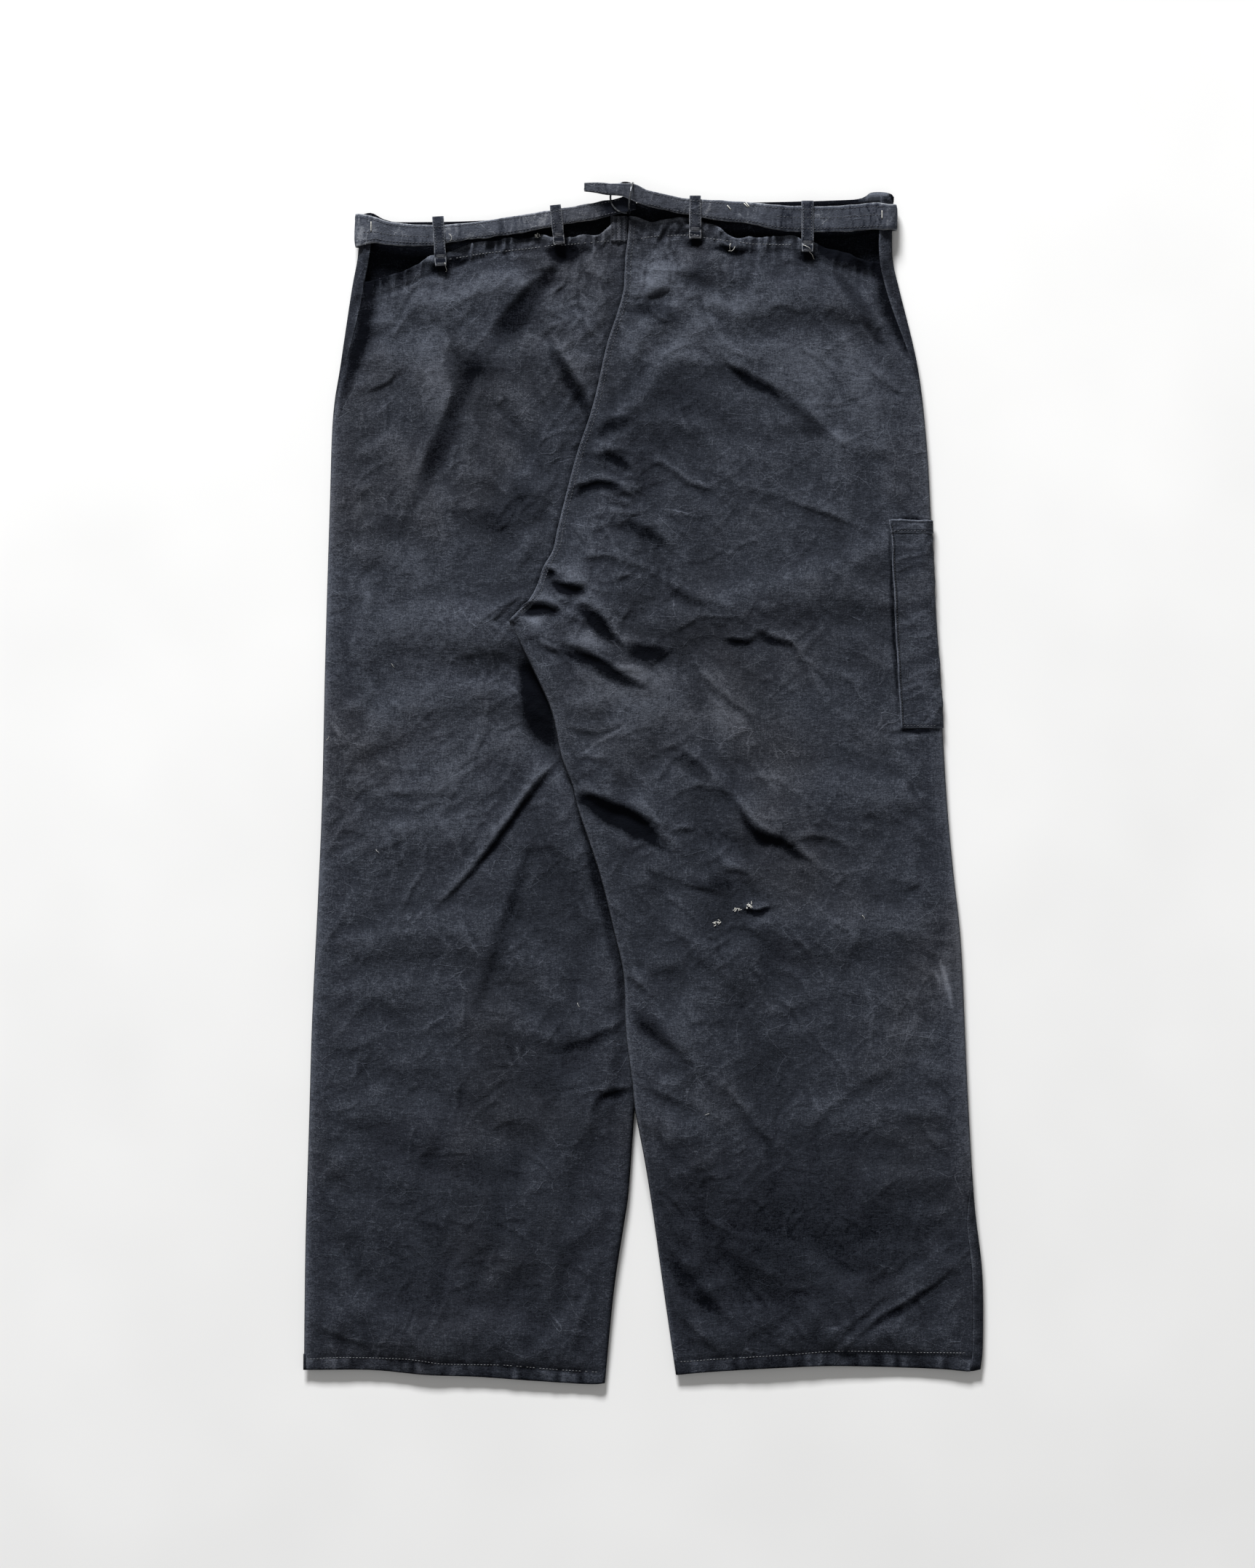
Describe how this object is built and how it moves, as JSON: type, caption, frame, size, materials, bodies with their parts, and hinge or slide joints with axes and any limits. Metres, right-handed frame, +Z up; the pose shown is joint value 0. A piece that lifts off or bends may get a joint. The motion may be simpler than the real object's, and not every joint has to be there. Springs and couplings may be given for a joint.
{
  "type": "bunker pants",
  "caption": "Heavy cotton-duck firefighting trousers lying front down, with a two-part ring belt in loops, a thigh pocket and a buttoned fly.",
  "frame": {"origin": "under the middle of the garment, on the surface it lies on, halfway between hems and waist and between its side edges", "axes": "+Y from the hems to the waist, +Z up out of the surface through the back of the garment, +X towards the wearer's right"},
  "size_m": [0.622, 1.1, 0.0346],
  "materials": {
    "cloth": "washed heavy cotton duck, matt, lighter along its worn creases",
    "thread": "cotton thread, sewn in dense bar tacks",
    "ring_wire": "dark lacquered steel wire",
    "button_metal": "dulled stamped metal"
  },
  "bodies": {
    "garment": {"left_front_panel": "cloth", "left_back_panel": "cloth", "right_front_panel": "cloth", "right_back_panel": "cloth", "left_side_seam": "cloth", "right_side_seam": "cloth", "left_inseam": "cloth", "right_inseam": "cloth", "seat_seam": "cloth", "front_rise_seam": "cloth", "left_leg_hem": "cloth", "right_leg_hem": "cloth", "left_back_casing": "cloth", "right_back_casing": "cloth", "left_front_waistband": "cloth", "right_front_waistband": "cloth", "centre_back_tab": "cloth", "fly_button_stand": "cloth", "left_belt_strap": "cloth", "right_belt_strap": "cloth", "belt_loop_1": "cloth", "belt_loop_2": "cloth", "belt_loop_3": "cloth", "belt_loop_4": "cloth", "thigh_pocket_seam": "cloth", "thigh_pocket_panel": "cloth", "thigh_pocket_hem": "cloth", "loop_bar_tacks": "thread", "belt_bar_tacks": "thread", "fly_buttons": "button_metal", "waist_button": "button_metal"},
    "fly_placket": {"fly_flap": "cloth"},
    "belt_end": {"belt_tail": "cloth"},
    "standing_ring": {"upright_ring": "ring_wire"},
    "lying_ring": {"flat_ring": "ring_wire"}
  },
  "joints": [
    {"name": "fly_placket_hinge", "type": "hinge", "parent": "garment", "child": "fly_placket", "pos_m": [-0.0105, 0.437, 0.0002], "axis": [0, 1, 0], "range_deg": [0, 150]},
    {"name": "belt_end_lift", "type": "hinge", "parent": "garment", "child": "belt_end", "pos_m": [-0.028, 0.541, 0.025], "axis": [0, 1, 0], "range_deg": [0, 90]},
    {"name": "standing_ring_swing", "type": "hinge", "parent": "garment", "child": "standing_ring", "pos_m": [-0.0106, 0.5346, 0.0173], "axis": [0.1201, 0.9928, 0], "range_deg": [-37, 50]},
    {"name": "lying_ring_lift", "type": "hinge", "parent": "garment", "child": "lying_ring", "pos_m": [-0.01358, 0.53496, 0.0173], "axis": [0.1201, 0.9928, 0], "range_deg": [-1, 6]}
  ]
}
